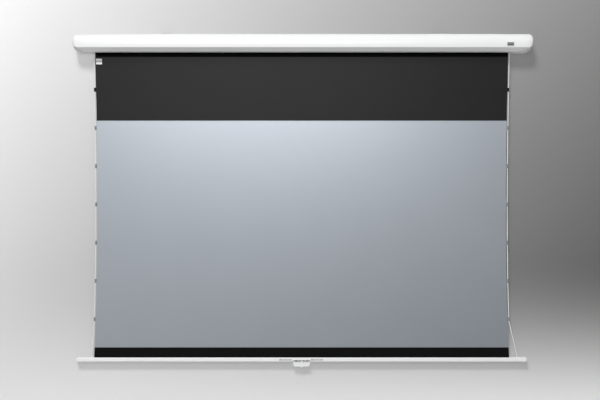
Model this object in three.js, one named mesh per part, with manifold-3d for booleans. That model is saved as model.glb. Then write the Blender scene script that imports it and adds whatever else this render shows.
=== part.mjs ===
// Pull down projector screen for a wall, with side cords that keep its fabric flat.
// Millimetres. +X is the viewer's right, -Y points at the viewer, +Z is up.
// The origin lies on the wall, halfway along the housing and at its mid height.

import * as THREE from 'three';
import { mergeVertices } from 'three/addons/utils/BufferGeometryUtils.js';
import Module from 'manifold-3d';

const wasm = await Module();
wasm.setup();

// Running and assembly clearances, shared by all pieces
const clearance = 0.3;
const runningGap = 0.4;
const overrun = 1;

// Fabric, an 84 inch wide format image with a black drop above it
const imageHeight = 1046;
const dropHeight = 313;
const hemHeight = 46;
const fabricThick = 0.6;
const fabricCentreX = -6;
const waistHalfWidth = 943.5;
const waistDrop = 771;
const topFlare = 9.5;
const footFlare = 14;
const scallopDepth = 1.2;

// Tension cords and the tabs that carry them
const cordRadius = 2;
const cordOffset = 5.5;
const tabCount = 7;
const firstTabDrop = 170;
const tabHeight = 18;
const tabGrip = 14;
const tabThick = 0.8;

// Housing section
const caseHeight = 82;
const caseDepth = 86;
const caseWall = 2;
const caseWallGap = 3;
const topFlat = 46;
const shoulderHeight = 43;
const lowerBulge = 75;
const creaseHeight = 16.7;
const toeDepth = 61;
const rearLip = 11;
const rearLipHeight = 13;
const slotWidth = 20;
const slotFlange = 5;
const tongueLength = 10;
const tongueRoot = 6;

// Bracket rail in the housing's back
const railDrop = 21;
const railHeight = 24;
const railMouth = 14;
const railDepth = 5;

// Screw ports that run through the housing
const portBlockWidth = 10;
const portBlockHeight = 9;
const portRadius = 2.2;
const portLowInset = 6.2;
const portLowRise = 7.5;

// Wall brackets
const bracketWidth = 46;
const bracketPlate = 2.5;
const bracketSpacing = 1260;
const bracketBelow = 18;
const bracketAbove = 2;
const bracketArm = 40;
const bracketHoleRadius = 2.6;
const bracketHoleInset = 9;

// End plates, their screws and the end caps
const plateThick = 3;
const screwRadius = 1.9;
const screwHeadRadius = 3.7;
const screwHeadHeight = 2.6;
const screwLength = 16;
const driveSlotWidth = 1;
const driveSlotDepth = 1.1;
const capLength = 46;
const capWall = 2.5;
const capTopStart = 26;
const capBottomStart = 12;
const capCentreDepth = 43;
const capCentreHeight = 53;
const capFootLow = 1.6;
const capFootStart = 8;
const capFootEnd = 22;
const capBossRadius = 4.5;
const capBossRise = 12;
const capBossBack = 12;
const capDomePower = 2.4;

// Roller, its plugs, the spring motor and the idle pin
const tubeRadius = 25;
const tubeWall = 2;
const tubeOverhang = 26;
const plugDepth = 40;
const plugFlange = 5;
const plugFlangeRadius = 27;
const shaftRadius = 6;
const shaftLength = 365;
const shaftCollar = 8;
const shaftCollarRadius = 17.5;
const tangLength = 6;
const tangWidth = 8;
const tangHeight = 5;
const bushLength = 10;
const springRadius = 14.5;
const springWireRadius = 1.5;
const springTurns = 24;
const plateRoom = 9.7;
const idlePinReach = 30;
const idleShoulder = 3;
const idleShoulderRadius = 9;
const idleStubRadius = 4;

// Ratchet disc and pawls
const ratchetRadius = 12.5;
const ratchetNotch = 3;
const ratchetNotchCount = 2;
const ratchetThick = 5;
const pawlPivotRadius = 19;
const pawlPinRadius = 2;
const pawlHubRadius = 4.5;
const pawlReachSide = 11;
const pawlReachIn = 8.5;
const pawlNose = 1.6;
const pawlSwing = 25;

// Weight bar, its end caps and the hem rod
const barOverhang = 81;
const barHeight = 20;
const barDepth = 22;
const barWall = 1.8;
const barCorner = 5;
const barSlot = 6;
const barCapLength = 23;
const barCapProud = 0.6;
const barCapLow = 1.2;
const barCapTenon = 14;
const barCapRound = 7;
const hemRodRadius = 3.6;

// Cord guides and tension adjusters in the bar
const leftAnchorInset = 69.5;
const rightAnchorInset = 43.5;
const guideLength = 12;
const guideWidth = 10;
const guideHead = 1.6;
const guideStem = 8;
const guideStemDepth = 3.5;
const guideBore = 2.7;
const blockLength = 7;
const blockWidth = 12;
const blockHeight = 9;
const blockOffset = 16;
const blockTravel = 3;
const adjusterRadius = 1.9;
const adjusterHeadRadius = 3.6;
const adjusterHead = 2.2;

// Pull handle, its clip and its pin
const notchWidth = 78;
const notchHeight = 7.5;
const notchDepth = 11.9;
const clipWall = 1.2;
const pinRadius = 1.5;
const pinRise = 3;
const pinSetback = 4.4;
const knuckleRadius = 2.6;
const endKnuckle = 5;
const ribKnuckle = 4.5;
const centreKnuckle = 12;
const ribOffset = 16;
const gripThick = 5;
const gripHalfWidth = 38.7;
const gripTopDrop = 2;
const gripHeight = 18.5;
const gripCorner = 6;
const gripTaper = 2.5;
const gripShoulder = 4.6;
const nubHalfWidth = 9;
const nubTipHalfWidth = 1.5;
const nubHeight = 4.5;

// Plain badge on the housing and plain label on the fabric
const badgeWidth = 34;
const badgeHeight = 19;
const badgeThick = 1;
const badgeInset = 43;
const badgeRise = 22;
const labelWidth = 27;
const labelHeight = 26;
const labelThick = 0.3;
const labelInset = 4;
const labelDrop = 27;

// How finely round forms are cut
const tubeSides = 32;
const plugSides = 24;
const pinSides = 16;
const screwSides = 12;
const cordSides = 8;
const springSides = 5;
const springSteps = 8;
const arcSteps = 8;
const lowerArcSteps = 3;
const scallopSteps = 6;
const halfCircle = Math.PI;
const fullCircle = 2 * Math.PI;
const quarterCircle = Math.PI / 2;

// Places that follow from the sizes above
const topZ = caseHeight / 2;
const bottomZ = -caseHeight / 2;
const backY = -caseWallGap;
const arcY = backY - topFlat;
const frontReach = caseDepth - topFlat;
const shoulderZ = bottomZ + shoulderHeight;
const upperRise = topZ - shoulderZ;
const creaseZ = bottomZ + creaseHeight;
const creaseAngle = Math.asin((shoulderZ - creaseZ) / lowerBulge);
const toeY = backY - toeDepth;
const slotRearY = backY - rearLip;
const slotFrontY = slotRearY - slotWidth;
const fabricY = (slotRearY + slotFrontY) / 2;
const rollerY = fabricY - tubeRadius - cordRadius - runningGap;
const dropBottomZ = bottomZ - dropHeight;
const imageBottomZ = dropBottomZ - imageHeight;
const barTopZ = imageBottomZ - hemHeight;
const barBottomZ = barTopZ - barHeight;
const tubeEndX = waistHalfWidth + topFlare + Math.abs(fabricCentreX) + tubeOverhang;
const caseEndX = tubeEndX + plugFlange + clearance + ratchetThick + plateRoom;
const tabPitch = (bottomZ - firstTabDrop - barTopZ) / tabCount;
const barFrontY = fabricY - barDepth / 2;
const barHalfLength = waistHalfWidth + footFlare + barOverhang;
const barLeftX = fabricCentreX - barHalfLength;
const barRightX = fabricCentreX + barHalfLength;
const leftAnchorX = barLeftX + leftAnchorInset;
const rightAnchorX = barRightX - rightAnchorInset;
const hemLoopInner = hemRodRadius + runningGap;
const hemLoopOuter = hemLoopInner + fabricThick;
const hemRodZ = barTopZ - barWall - clearance - hemLoopOuter;
const adjusterZ = barTopZ - barWall - guideStemDepth - clearance - blockHeight / 2;
const pinY = barFrontY + pinSetback;
const pinZ = barBottomZ + pinRise;
const gripTopZ = barBottomZ - gripTopDrop;

// Finishes
const finish = (color, roughness, metalness = 0) =>
  new THREE.MeshStandardMaterial({ color, roughness, metalness });
const whitePaint = finish(0xf2f3f3, 0.28);
const whitePlastic = finish(0xf1f2f2, 0.35);
const zincSteel = finish(0xa9adb0, 0.4, 0.9);
const brightSteel = finish(0xc4c6c8, 0.3, 1);
const springSteel = finish(0x55585c, 0.45, 0.9);
const rollerAluminium = finish(0xb4b6b8, 0.45, 0.9);
const greyNylon = finish(0x8d9092, 0.5);
const blackFabric = finish(0x1c1c1e, 0.85);
const greyFabric = finish(0x9aa0a6, 0.6);
const whiteCord = finish(0xf0f0ee, 0.7);
const darkPlastic = finish(0x2b2a2c, 0.55);
const badgeGrey = finish(0x6d7275, 0.4);
const labelWhite = finish(0xeeeef0, 0.6);

// Turns that carry a section drawn flat to its place in the object
const alongX = new THREE.Matrix4().makeBasis(
  new THREE.Vector3(0, 1, 0), new THREE.Vector3(0, 0, 1), new THREE.Vector3(1, 0, 0));
const alongY = new THREE.Matrix4().makeBasis(
  new THREE.Vector3(1, 0, 0), new THREE.Vector3(0, 0, 1), new THREE.Vector3(0, -1, 0));
const lathedX = new THREE.Matrix4().makeBasis(
  new THREE.Vector3(0, 0, 1), new THREE.Vector3(1, 0, 0), new THREE.Vector3(0, 1, 0));

// Geometry helpers

// Turns every face of a closed geometry outwards
function outward(geometry) {
  const solid = mergedPositions(geometry);
  const at = solid.getAttribute('position');
  const index = solid.getIndex();
  const corner = [new THREE.Vector3(), new THREE.Vector3(), new THREE.Vector3()];
  let volume = 0;
  for (let i = 0; i < index.count; i += 3) {
    corner.forEach((point, k) => point.fromBufferAttribute(at, index.getX(i + k)));
    volume += corner[0].dot(corner[1].clone().cross(corner[2]));
  }
  if (volume > 0) return solid;
  const turned = [];
  for (let i = 0; i < index.count; i += 3) {
    turned.push(index.getX(i), index.getX(i + 2), index.getX(i + 1));
  }
  solid.setIndex(turned);
  return solid;
}

function mergedPositions(geometry) {
  const bare = geometry.clone();
  bare.deleteAttribute('normal');
  bare.deleteAttribute('uv');
  return mergeVertices(bare);
}

const shapeOf = (points) => new THREE.Shape(points.map(([u, v]) => new THREE.Vector2(u, v)));

// Extrudes an outline with holes by a length, along the local depth axis
function prism(outline, length, holes = []) {
  const shape = shapeOf(outline);
  shape.holes = holes.map((hole) => new THREE.Path(hole.map(([u, v]) => new THREE.Vector2(u, v))));
  return new THREE.ExtrudeGeometry(shape, { depth: length, bevelEnabled: false });
}

// An outline in (y, z) swept from x0 to x1
const sweepX = (outline, x0, x1, holes) =>
  outward(prism(outline, x1 - x0, holes).applyMatrix4(alongX).translate(x0, 0, 0));

// An outline in (x, z) swept from y0 forward to y1, where y1 is nearer the viewer
const sweepY = (outline, y0, y1, holes) =>
  outward(prism(outline, y0 - y1, holes).applyMatrix4(alongY).translate(0, y0, 0));

// An outline in (x, y) swept from z0 up to z1
const sweepZ = (outline, z0, z1, holes) =>
  outward(prism(outline, z1 - z0, holes).translate(0, 0, z0));

// A profile of [x, radius] points turned about the X axis
const turnX = (profile, sides) => outward(
  new THREE.LatheGeometry(profile.map(([x, r]) => new THREE.Vector2(r, x)), sides)
    .applyMatrix4(lathedX));

const rectangle = (u0, u1, v0, v1) => [[u0, v0], [u1, v0], [u1, v1], [u0, v1]];

const circle = (radius, sides, u = 0, v = 0) => Array.from({ length: sides }, (_, i) => {
  const angle = (i + 0.5) * fullCircle / sides;
  return [u + radius * Math.cos(angle), v + radius * Math.sin(angle)];
});

const arc = (u, v, radius, from, to, steps) => Array.from({ length: steps + 1 }, (_, i) => {
  const angle = from + (to - from) * i / steps;
  return [u + radius * Math.cos(angle), v + radius * Math.sin(angle)];
});

const block = (x0, x1, y0, y1, z0, z1) => sweepX(rectangle(y0, y1, z0, z1), x0, x1);

// A closed skin over rings of points, each ring with as many points, closed at both ends
function loft(rings) {
  const count = rings[0].length;
  const positions = rings.flat().flatMap((point) => [point.x, point.y, point.z]);
  const faces = [];
  for (let r = 0; r + 1 < rings.length; r += 1) {
    for (let i = 0; i < count; i += 1) {
      const a = r * count + i;
      const b = r * count + (i + 1) % count;
      faces.push(a, b, b + count, a, b + count, a + count);
    }
  }
  const closeEnd = (ring, base, turned) => {
    const middle = positions.length / 3;
    const centre = ring.reduce((sum, p) => sum.add(p), new THREE.Vector3()).divideScalar(count);
    positions.push(centre.x, centre.y, centre.z);
    for (let i = 0; i < count; i += 1) {
      const next = base + (i + 1) % count;
      if (turned) faces.push(middle, next, base + i);
      else faces.push(middle, base + i, next);
    }
  };
  closeEnd(rings[0], 0, true);
  closeEnd(rings.at(-1), (rings.length - 1) * count, false);
  const geometry = new THREE.BufferGeometry();
  geometry.setAttribute('position', new THREE.Float32BufferAttribute(positions, 3));
  geometry.setIndex(faces);
  return outward(geometry);
}

const solidOf = (geometry) => {
  const merged = mergedPositions(geometry);
  return new wasm.Manifold(new wasm.Mesh({
    numProp: 3,
    vertProperties: new Float32Array(merged.getAttribute('position').array),
    triVerts: new Uint32Array(merged.getIndex().array),
  }));
};

const geometryOf = (solid) => {
  const mesh = solid.getMesh();
  const geometry = new THREE.BufferGeometry();
  geometry.setAttribute('position', new THREE.Float32BufferAttribute(mesh.vertProperties, 3));
  geometry.setIndex(Array.from(mesh.triVerts));
  return geometry;
};

const joined = (first, ...others) => geometryOf(
  others.reduce((sum, next) => sum.add(solidOf(next)), solidOf(first)));
const cut = (first, ...tools) => geometryOf(
  tools.reduce((rest, tool) => rest.subtract(solidOf(tool)), solidOf(first)));

// The same shape on the other side of x = 0
const mirrored = (geometry) => outward(geometry.clone().scale(-1, 1, 1));

const screen = new THREE.Group();

function add(name, geometry, material, place = [0, 0, 0]) {
  const mesh = new THREE.Mesh(geometry, material);
  mesh.name = name;
  mesh.position.set(...place);
  screen.add(mesh);
  return mesh;
}

const sides = [['left', -1], ['right', 1]];

// Housing: three long sections that lock together, seen from the end

// The curved front from the top flat down to the crease, at some depth inside its face
function frontCurve(inset) {
  const reach = frontReach - inset;
  const upper = Array.from({ length: arcSteps + 1 }, (_, i) => {
    const angle = i * quarterCircle / arcSteps;
    return [arcY - reach * Math.sin(angle), shoulderZ + (upperRise - inset) * Math.cos(angle)];
  });
  const lower = Array.from({ length: lowerArcSteps }, (_, i) => {
    const angle = (i + 1) * creaseAngle / lowerArcSteps;
    return [arcY - reach * Math.cos(angle), shoulderZ - lowerBulge * Math.sin(angle)];
  });
  return [...upper, ...lower];
}

// The whole section of the housing, at some depth inside its face
const caseOutline = (inset) => [
  [backY - inset, bottomZ + inset],
  [backY - inset, topZ - inset],
  ...frontCurve(inset),
  [toeY + inset / 2, bottomZ + inset],
];

const railTopZ = topZ - railDrop + railHeight / 2;
const railBottomZ = railTopZ - railHeight;
const mouthTopZ = topZ - railDrop + railMouth / 2;
const mouthBottomZ = mouthTopZ - railMouth;
const railFloorY = backY - caseWall - railDepth;
const railSkinY = railFloorY - caseWall;
const portTopY = railSkinY - portBlockWidth / 2;
const portTopZ = topZ - caseWall - portBlockHeight / 2;
const portLowY = backY - portLowInset;
const portLowZ = bottomZ + portLowRise;

const rearSection = [
  [backY, topZ],
  [backY, mouthTopZ],
  [backY - caseWall, mouthTopZ],
  [backY - caseWall, railTopZ],
  [railFloorY, railTopZ],
  [railFloorY, railBottomZ],
  [backY - caseWall, railBottomZ],
  [backY - caseWall, mouthBottomZ],
  [backY, mouthBottomZ],
  [backY, bottomZ],
  [slotRearY, bottomZ],
  [slotRearY, bottomZ + rearLipHeight],
  [backY - caseWall, bottomZ + rearLipHeight],
  [backY - caseWall, railBottomZ - caseWall],
  [railSkinY, railBottomZ - caseWall],
  [railSkinY, topZ - caseWall - portBlockHeight],
  [railSkinY - portBlockWidth, topZ - caseWall - portBlockHeight],
  [railSkinY - portBlockWidth, topZ - caseWall],
  [arcY, topZ - caseWall],
  [arcY, topZ],
];
add('rear_housing', sweepX(rearSection, -caseEndX, caseEndX, [
  circle(portRadius, screwSides, portTopY, portTopZ),
  circle(portRadius, screwSides, portLowY, portLowZ),
]), whitePaint);

const tongueTopZ = topZ - caseWall - clearance;
const coverInside = frontCurve(caseWall).reverse().filter(([y]) => y < arcY - tongueRoot);
add('front_cover', sweepX([
  ...frontCurve(0),
  ...coverInside,
  [arcY - tongueRoot, tongueTopZ - caseWall],
  [arcY + tongueLength, tongueTopZ - caseWall],
  [arcY + tongueLength, tongueTopZ],
  [arcY, tongueTopZ],
], -caseEndX, caseEndX), whitePaint);

const creaseY = arcY - frontReach * Math.cos(creaseAngle);
const ledgeY = creaseY + caseWall + clearance;
add('lower_front_rail', sweepX([
  [creaseY, creaseZ],
  [ledgeY, creaseZ],
  [ledgeY, creaseZ + tongueLength],
  [ledgeY + caseWall, creaseZ + tongueLength],
  [ledgeY + caseWall, creaseZ],
  [toeY + caseWall / 2, bottomZ + caseWall],
  [slotFrontY - caseWall, bottomZ + caseWall],
  [slotFrontY - caseWall, bottomZ + slotFlange],
  [slotFrontY, bottomZ + slotFlange],
  [slotFrontY, bottomZ],
  [toeY, bottomZ],
], -caseEndX, caseEndX), whitePaint);

// Wall brackets: an angle with a T head that runs in the rail
const armLowZ = topZ + bracketAbove;
const armTopZ = armLowZ + bracketPlate;
const bracketSection = [
  [0, topZ - railDrop - railHeight / 2 - bracketBelow],
  [0, armTopZ],
  [-bracketArm, armTopZ],
  [-bracketArm, armLowZ],
  [-bracketPlate, armLowZ],
  [-bracketPlate, mouthTopZ - runningGap],
  [backY - caseWall - runningGap, mouthTopZ - runningGap],
  [backY - caseWall - runningGap, railTopZ - runningGap],
  [railFloorY + runningGap, railTopZ - runningGap],
  [railFloorY + runningGap, railBottomZ + runningGap],
  [backY - caseWall - runningGap, railBottomZ + runningGap],
  [backY - caseWall - runningGap, mouthBottomZ + runningGap],
  [-bracketPlate, mouthBottomZ + runningGap],
  [-bracketPlate, topZ - railDrop - railHeight / 2 - bracketBelow],
];
for (const [side, sign] of sides) {
  const centre = sign * bracketSpacing / 2;
  const body = sweepX(bracketSection, centre - bracketWidth / 2, centre + bracketWidth / 2);
  const holeX = [centre - bracketWidth / 2 + bracketHoleInset,
    centre + bracketWidth / 2 - bracketHoleInset];
  const lowHoleZ = bracketSection[0][1] + bracketHoleInset;
  const wallHoles = holeX.map((x) => sweepY(
    circle(bracketHoleRadius, screwSides, x, lowHoleZ), overrun, -bracketPlate - overrun));
  const ceilingHoles = holeX.map((x) => sweepZ(
    circle(bracketHoleRadius, screwSides, x, -bracketArm + bracketHoleInset),
    armLowZ - overrun, armTopZ + overrun));
  add(`${side}_wall_bracket`, cut(body, ...wallHoles, ...ceilingHoles), zincSteel);
}

// End plates that close the sections and carry the roller
const plateInset = capWall + clearance;
const bossY = rollerY + capBossBack;
const bossZ = capBossRise;
const plateOutline = caseOutline(plateInset);
const plateHoles = [
  circle(portRadius + clearance / 3, screwSides, portTopY, portTopZ),
  circle(portRadius + clearance / 3, screwSides, portLowY, portLowZ),
  circle(portRadius, screwSides, bossY, bossZ),
];
const tangHole = rectangle(
  rollerY - tangWidth / 2 - clearance, rollerY + tangWidth / 2 + clearance,
  -tangHeight / 2 - clearance, tangHeight / 2 + clearance);
const stubHole = circle(idleStubRadius + runningGap, pinSides, rollerY, 0);
add('left_end_plate', sweepX(plateOutline, -caseEndX - plateThick, -caseEndX,
  [...plateHoles, tangHole]), zincSteel);
add('right_end_plate', sweepX(plateOutline, caseEndX, caseEndX + plateThick,
  [...plateHoles, stubHole]), zincSteel);

// A pan head screw along +X with its head's seat at x = 0 and a slot in its head
function panScrew(length) {
  const shank = turnX([
    [-length, 0],
    [-length + screwRadius, screwRadius],
    [0, screwRadius],
    [0, screwHeadRadius],
    [screwHeadHeight / 2, screwHeadRadius],
    [screwHeadHeight, screwHeadRadius * Math.SQRT1_2],
    [screwHeadHeight, 0],
  ], screwSides);
  return cut(shank, block(
    screwHeadHeight - driveSlotDepth, screwHeadHeight + overrun,
    -screwHeadRadius - overrun, screwHeadRadius + overrun,
    -driveSlotWidth / 2, driveSlotWidth / 2));
}
const plateScrew = panScrew(screwLength);
for (const [side, sign] of sides) {
  const screw = sign > 0 ? plateScrew : mirrored(plateScrew);
  const seatX = sign * (caseEndX + plateThick);
  add(`${side}_plate_screw_upper`, screw, brightSteel, [seatX, portTopY, portTopZ]);
  add(`${side}_plate_screw_lower`, screw, brightSteel, [seatX, portLowY, portLowZ]);
}

// End caps: moulded shells that dome in from the full section, further in at the bottom
const capCentreY = backY - capCentreDepth;
const capCentreZ = bottomZ + capCentreHeight;
const capStationShares = [0, 0.17, 0.26, 0.34, 0.48, 0.62, 0.74, 0.84, 0.92, 0.97, 1];
const capTopEndShare = 0.52;
const capBottomEndShare = 0.42;

const domeShare = (station, start, endShare) => {
  const along = Math.max(0, (station - start) / (capLength - start));
  return endShare + (1 - endShare) * Math.sqrt(Math.max(0, 1 - along ** capDomePower));
};

function capRing(share, inset) {
  const length = capLength - inset;
  const station = share * capLength;
  const top = domeShare(station, capTopStart, capTopEndShare);
  const bottom = domeShare(station, capBottomStart, capBottomEndShare);
  const footShare = station > capFootStart && station < capFootEnd ? 1 : 0;
  return caseOutline(inset).map(([y, z]) => {
    const upShare = THREE.MathUtils.smoothstep(z, bottomZ, topZ);
    const shrink = bottom + (top - bottom) * upShare;
    const foot = z < bottomZ + inset + clearance ? capFootLow * footShare : 0;
    return new THREE.Vector3(
      caseEndX + share * length,
      capCentreY + (y - capCentreY) * (1 + shrink) / 2,
      capCentreZ + (z - capCentreZ) * shrink - foot);
  });
}

const capScrewSeatX = caseEndX + capLength;
const capShell = loft([
  ...capStationShares.map((share) => capRing(share, capWall)).reverse(),
  ...capStationShares.map((share) => capRing(share, 0)),
]);
const capBoss = turnX([
  [caseEndX + plateThick + clearance, 0],
  [caseEndX + plateThick + clearance, capBossRadius],
  [capScrewSeatX - capWall / 2, capBossRadius],
  [capScrewSeatX - capWall / 2, 0],
], screwSides).translate(0, bossY, bossZ);
const capBore = turnX([
  [caseEndX, 0],
  [caseEndX, portRadius],
  [capScrewSeatX + overrun, portRadius],
  [capScrewSeatX + overrun, 0],
], screwSides).translate(0, bossY, bossZ);
const endCap = cut(joined(capShell, capBoss), capBore);
add('right_end_cap', endCap, whitePlastic);
add('left_end_cap', mirrored(endCap), whitePlastic);
const capScrew = panScrew(capLength - plateThick / 2);
add('right_cap_screw', capScrew, brightSteel, [capScrewSeatX, bossY, bossZ]);
add('left_cap_screw', mirrored(capScrew), brightSteel, [-capScrewSeatX, bossY, bossZ]);

// Spring motor in the left end: a shaft held still by its flat end, with the spring round it
const tubeBore = tubeRadius - tubeWall;
const plugRadius = tubeBore - runningGap;
const shaftBore = shaftRadius + runningGap * Math.SQRT2;
const shaftTipX = -caseEndX + shaftLength;
const collarX = shaftTipX - bushLength - 2 * runningGap - shaftCollar;
const shaftBody = turnX([
  [-caseEndX, 0],
  [-caseEndX, shaftRadius],
  [collarX, shaftRadius],
  [collarX, shaftCollarRadius],
  [collarX + shaftCollar, shaftCollarRadius],
  [collarX + shaftCollar, shaftRadius],
  [shaftTipX, shaftRadius],
  [shaftTipX, 0],
], pinSides);
const shaftTang = block(-caseEndX - tangLength, -caseEndX + tangLength,
  -tangWidth / 2, tangWidth / 2, -tangHeight / 2, tangHeight / 2);
add('spring_shaft', joined(shaftBody, shaftTang), brightSteel, [0, rollerY, 0]);

const springStartX = -tubeEndX + plugDepth + springWireRadius + clearance;
const springEndX = collarX - springWireRadius - clearance;
function springRing(step) {
  const turn = step / springSteps;
  const angle = turn * fullCircle;
  const x = springStartX + (springEndX - springStartX) * turn / springTurns;
  const outwards = new THREE.Vector3(0, Math.cos(angle), Math.sin(angle));
  const centre = outwards.clone().multiplyScalar(springRadius).setX(x);
  return circle(springWireRadius, springSides).map(([u, v]) =>
    centre.clone().addScaledVector(outwards, u).add(new THREE.Vector3(v, 0, 0)));
}
const springRings = Array.from({ length: springTurns * springSteps + 1 }, (_, i) => springRing(i));
add('drive_spring', loft(springRings), springSteel, [0, rollerY, 0]);

// Ratchet disc fixed on the shaft, with notches for the pawls
const ratchetNearX = -tubeEndX - plugFlange - clearance;
const ratchetOutline = Array.from({ length: plugSides }, (_, i) => {
  const notched = i % (plugSides / ratchetNotchCount) === 0;
  const radius = notched ? ratchetRadius - ratchetNotch : ratchetRadius;
  const angle = i * fullCircle / plugSides;
  return [radius * Math.cos(angle), radius * Math.sin(angle)];
});
add('ratchet_disc', sweepX(ratchetOutline, ratchetNearX - ratchetThick, ratchetNearX,
  [circle(shaftBore, pinSides)]), zincSteel, [0, rollerY, 0]);

// Idle pin riveted in the right end plate
add('idle_pin', turnX([
  [caseEndX - idlePinReach, 0],
  [caseEndX - idlePinReach, shaftRadius],
  [caseEndX - idleShoulder, shaftRadius],
  [caseEndX - idleShoulder, idleShoulderRadius],
  [caseEndX, idleShoulderRadius],
  [caseEndX, idleStubRadius],
  [caseEndX + 2 * plateThick, idleStubRadius],
  [caseEndX + 2 * plateThick, 0],
], pinSides), brightSteel, [0, rollerY, 0]);

// Roller: tube, plugs, bush and the turns of fabric that never leave it
add('roller_tube', sweepX(circle(tubeRadius, tubeSides), -tubeEndX, tubeEndX,
  [circle(tubeBore, tubeSides)]), rollerAluminium, [0, rollerY, 0]);

const plugProfile = [
  [tubeEndX - plugDepth, shaftBore],
  [tubeEndX - plugDepth, plugRadius],
  [tubeEndX, plugRadius],
  [tubeEndX, plugFlangeRadius],
  [tubeEndX + plugFlange, plugFlangeRadius],
  [tubeEndX + plugFlange, shaftBore],
  [tubeEndX - plugDepth, shaftBore],
];
const plainPlug = turnX(plugProfile, plugSides);
add('idle_plug', plainPlug, greyNylon, [0, rollerY, 0]);
const pawlPin = (z) => turnX([
  [ratchetNearX - ratchetThick, 0],
  [ratchetNearX - ratchetThick, pawlPinRadius],
  [-tubeEndX - plugFlange / 2, pawlPinRadius],
  [-tubeEndX - plugFlange / 2, 0],
], screwSides).translate(0, 0, z);
add('drive_plug', joined(mirrored(plainPlug), pawlPin(pawlPivotRadius), pawlPin(-pawlPivotRadius)),
  greyNylon, [0, rollerY, 0]);
add('shaft_bush', turnX([
  [shaftTipX - bushLength, shaftBore],
  [shaftTipX - bushLength, plugRadius],
  [shaftTipX, plugRadius],
  [shaftTipX, shaftBore],
  [shaftTipX - bushLength, shaftBore],
], plugSides), greyNylon, [0, rollerY, 0]);

const woundOuter = tubeRadius + cordRadius + runningGap - fabricThick / 2 - clearance;
const woundInner = tubeRadius + runningGap;
const halfWidthAt = (z) => {
  const waistZ = bottomZ - waistDrop;
  const flare = z > waistZ ? topFlare : footFlare;
  const endZ = z > waistZ ? bottomZ : barTopZ;
  return waistHalfWidth + flare * ((z - waistZ) / (endZ - waistZ)) ** 2;
};
add('wound_fabric', sweepX(circle(woundOuter, tubeSides),
  fabricCentreX - halfWidthAt(0), fabricCentreX + halfWidthAt(0),
  [circle(woundInner, tubeSides)]), blackFabric, [0, rollerY, 0]);

// Pawls: levers on the drive plug that fall into the ratchet disc when the roller turns slowly
function pawlGeometry() {
  const reach = Math.hypot(pawlReachSide, pawlReachIn);
  const noseAngle = Math.atan2(-pawlReachIn, -pawlReachSide);
  const tip = [-pawlReachSide, -pawlReachIn];
  const across = [-Math.sin(noseAngle), Math.cos(noseAngle)];
  const outline = [
    ...arc(0, 0, pawlHubRadius, noseAngle + quarterCircle, noseAngle + 3 * quarterCircle, arcSteps),
    [tip[0] - across[0] * pawlNose, tip[1] - across[1] * pawlNose],
    [tip[0] * (1 + pawlNose / reach), tip[1] * (1 + pawlNose / reach)],
    [tip[0] + across[0] * pawlNose, tip[1] + across[1] * pawlNose],
  ];
  return sweepX(outline, ratchetNearX - ratchetThick, ratchetNearX,
    [circle(pawlPinRadius + runningGap, screwSides)]);
}
add('upper_pawl', pawlGeometry(), zincSteel, [0, rollerY, pawlPivotRadius]);
add('lower_pawl', pawlGeometry(), zincSteel, [0, rollerY, -pawlPivotRadius])
  .rotateX(halfCircle - THREE.MathUtils.degToRad(pawlSwing));

// Fabric: black drop, grey viewing surface and black hem, drawn in at the waist and between tabs
const tabZ = Array.from({ length: tabCount }, (_, i) => bottomZ - firstTabDrop - i * tabPitch);
const edgeWidthAt = (z) => {
  const betweenTabs = z < tabZ[0] && z > tabZ.at(-1);
  const bow = betweenTabs ? Math.sin((z - tabZ[0]) / tabPitch * halfCircle) : 0;
  return halfWidthAt(z) - scallopDepth * Math.abs(bow);
};

function fabricSheet(upperZ, lowerZ) {
  const step = tabPitch / scallopSteps;
  const levels = [upperZ];
  for (let z = tabZ[0] + tabCount * tabPitch; z > lowerZ; z -= step) {
    if (z < upperZ - step / 3 && z > lowerZ + step / 3) levels.push(z);
  }
  levels.push(lowerZ);
  const rightEdge = levels.map((z) => [fabricCentreX + edgeWidthAt(z), z]);
  const leftEdge = levels.map((z) => [fabricCentreX - edgeWidthAt(z), z]).reverse();
  return sweepY([...rightEdge, ...leftEdge], fabricY + fabricThick / 2, fabricY - fabricThick / 2);
}
add('drop_fabric', fabricSheet(0, dropBottomZ), blackFabric);
add('viewing_fabric', fabricSheet(dropBottomZ, imageBottomZ), greyFabric);

// The hem hangs from the viewing surface and loops round the rod inside the bar
const neckAngle = Math.asin(fabricThick / 2 / hemLoopOuter);
const hemSection = [
  [fabricY + fabricThick / 2, imageBottomZ],
  ...arc(fabricY, hemRodZ, hemLoopOuter, quarterCircle - neckAngle,
    quarterCircle + neckAngle - fullCircle, pinSides),
  [fabricY - fabricThick / 2, imageBottomZ],
];
add('hem_fabric', sweepX(hemSection,
  fabricCentreX - halfWidthAt(imageBottomZ), fabricCentreX + halfWidthAt(imageBottomZ),
  [circle(hemLoopInner, pinSides, fabricY, hemRodZ)]), blackFabric);

const labelLeftX = fabricCentreX - halfWidthAt(bottomZ - labelDrop) + labelInset;
const labelTopZ = bottomZ - labelDrop;
add('fabric_label', block(labelLeftX, labelLeftX + labelWidth,
  fabricY - fabricThick / 2 - labelThick, fabricY - fabricThick / 2,
  labelTopZ - labelHeight, labelTopZ), labelWhite);

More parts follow.
